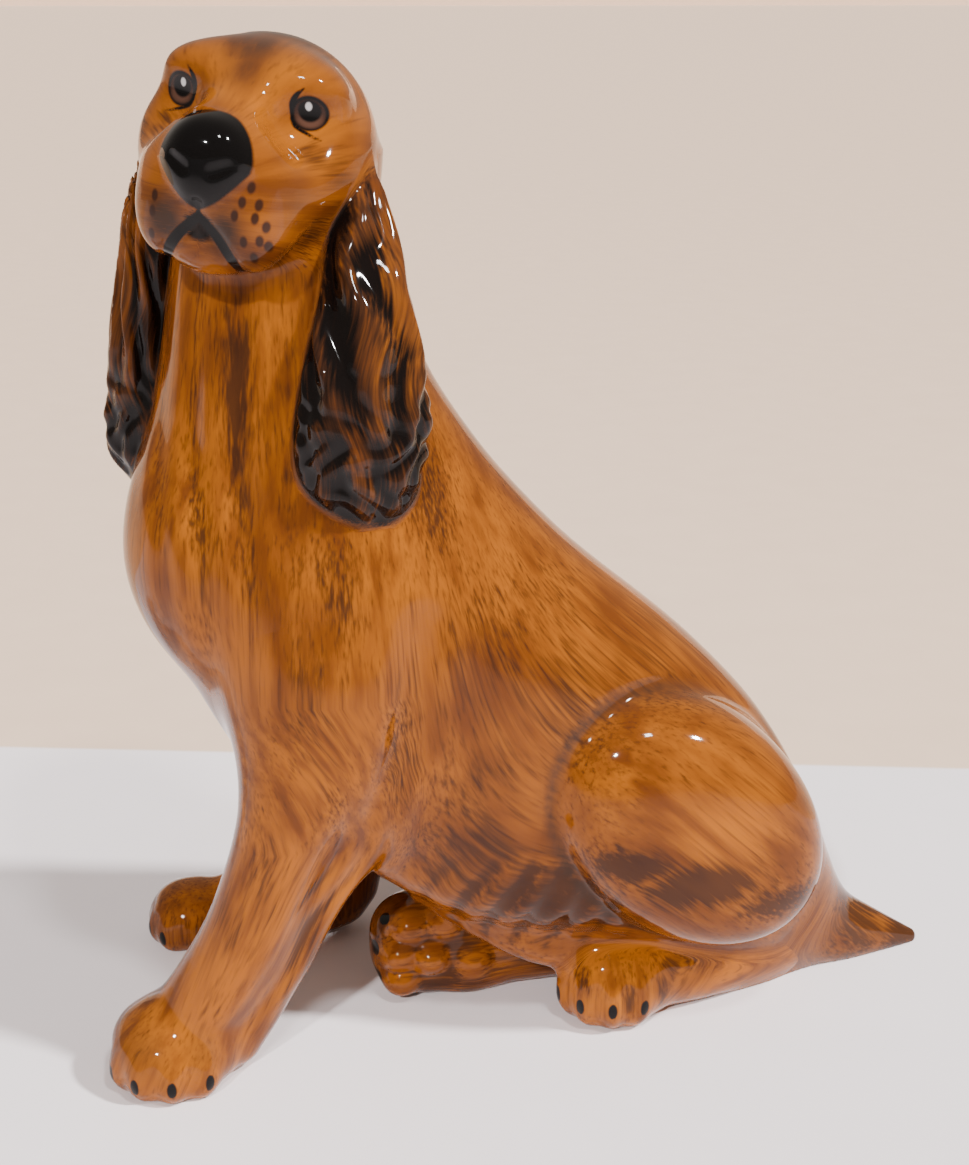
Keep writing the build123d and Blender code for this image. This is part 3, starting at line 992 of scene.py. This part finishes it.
# Tail
# Short and pointed, solid clay, luted to the rump and laid flat on the ground. Its tip and its upper
# side are brushed dark.

TAIL_FILLET = 8


def tail_form(p):
    return roll(p, [(0, 70, 16), (1, 85, 8), (2, 98, 4.5), (3, 112, 1.5)], [17, 12, 7.5, 2.5])


tail_model, tail_trim = luted(tail_form, body_form, TAIL_FILLET)


def paint_tail(p):
    dark = dabs(p, [((8, 110, 4), (10, 9, 8), 1.3), ((12, 93, 18), (14, 11, 16), 1.1)])
    x, y, z = p.T
    return brushwork((0.66 * y + 0.75 * z, x, 0.75 * y - 0.66 * z), dark, 0.2, 0.2)


tail = cast(
    "tail_glazed",
    tail_model,
    (-35, 55, -2),
    (35, 118, 60),
    0.7,
    wiped(paint_tail, tail_form, paint_body, TAIL_FILLET),
    tail_trim,
)
tail.data.materials.append(limb_glaze)
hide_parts("tail", "tail_slip")

# Camera
# It stands level with the top of the head, about half a metre off, and looks down a little
# at the dog's left side.

camera = bpy.data.objects.new("camera", bpy.data.cameras.new("camera"))
bpy.context.scene.collection.objects.link(camera)
camera.location = Vector((452.8, -123.6, 274)) * MM
camera.rotation_euler = np.radians((72, 0, 76))
camera.data.lens = 18 / np.tan(np.radians(18))
bpy.context.scene.camera = camera

# Floor and light
# A pale table with a white cloth under the dog. Two distant lamps and one small panel near the camera
# light it, and they are small enough to spark in the glaze.

floor_mesh = bpy.data.meshes.new("floor")
floor_mesh.from_pydata(
    [(99, -99, 0), (99, 99, 0), (-99, 99, 0), (-99, -99, 0), (-99, 99, 9), (-99, -99, 9)],
    [],
    [(0, 1, 2, 3), (3, 2, 4, 5)],
)
floor = bpy.data.objects.new("floor", floor_mesh)
bpy.context.scene.collection.objects.link(floor)
cloth = bpy.data.materials.new("cloth")
cloth.use_nodes = True
tree = cloth.node_tree
place = new_node(tree, "ShaderNodeTexCoord").outputs["Object"]
toward = new_node(tree, "ShaderNodeVectorMath", {"operation": "DOT_PRODUCT"}, in_0=place)
toward.inputs[1].default_value = (0.955, -0.296, 0)
edge = toward.outputs["Value"]
weave = new_node(tree, "ShaderNodeTexNoise", Vector=place, Scale=40.0, Detail=4.0).outputs["Fac"]
white = tint(tree, weave, (0.84, 0.76, 0.77, 1), (0.88, 0.80, 0.81, 1))
cream = tint(tree, weave, (0.72, 0.52, 0.38, 1), (0.78, 0.57, 0.42, 1))
table = tint(tree, ramp(tree, edge, -0.159, -0.156), cream, white)
table = tint(tree, ramp(tree, edge, 0.15, 0.9), table, (0.2, 0.19, 0.18, 1))
tree.links.new(table, tree.nodes["Principled BSDF"].inputs["Base Color"])
tree.nodes["Principled BSDF"].inputs["Roughness"].default_value = 0.9
floor_mesh.materials.append(cloth)

SUNS = [((-0.42, -0.62, -0.75), 5.5, 0.08), ((-0.75, 0.45, -0.6), 3.0, 0.05)]
for heading, strength, breadth in SUNS:
    sun = bpy.data.objects.new("sun", bpy.data.lights.new("sun", "SUN"))
    sun.data.energy = strength
    sun.data.angle = breadth
    sun.rotation_euler = Vector(heading).to_track_quat("-Z", "Y").to_euler()
    bpy.context.scene.collection.objects.link(sun)
panel = bpy.data.objects.new("panel", bpy.data.lights.new("panel", "AREA"))
panel.data.energy = 9
panel.data.size = 0.12
panel.location = (0.75, 0.15, 1.3)
panel.rotation_euler = (Vector((0, 0, 0.12)) - panel.location).to_track_quat("-Z", "Y").to_euler()
bpy.context.scene.collection.objects.link(panel)
world = bpy.data.worlds.new("studio")
world.use_nodes = True
world.node_tree.nodes["Background"].inputs["Color"].default_value = (0.9, 0.8, 0.7, 1)
world.node_tree.nodes["Background"].inputs["Strength"].default_value = 0.45
bpy.context.scene.world = world
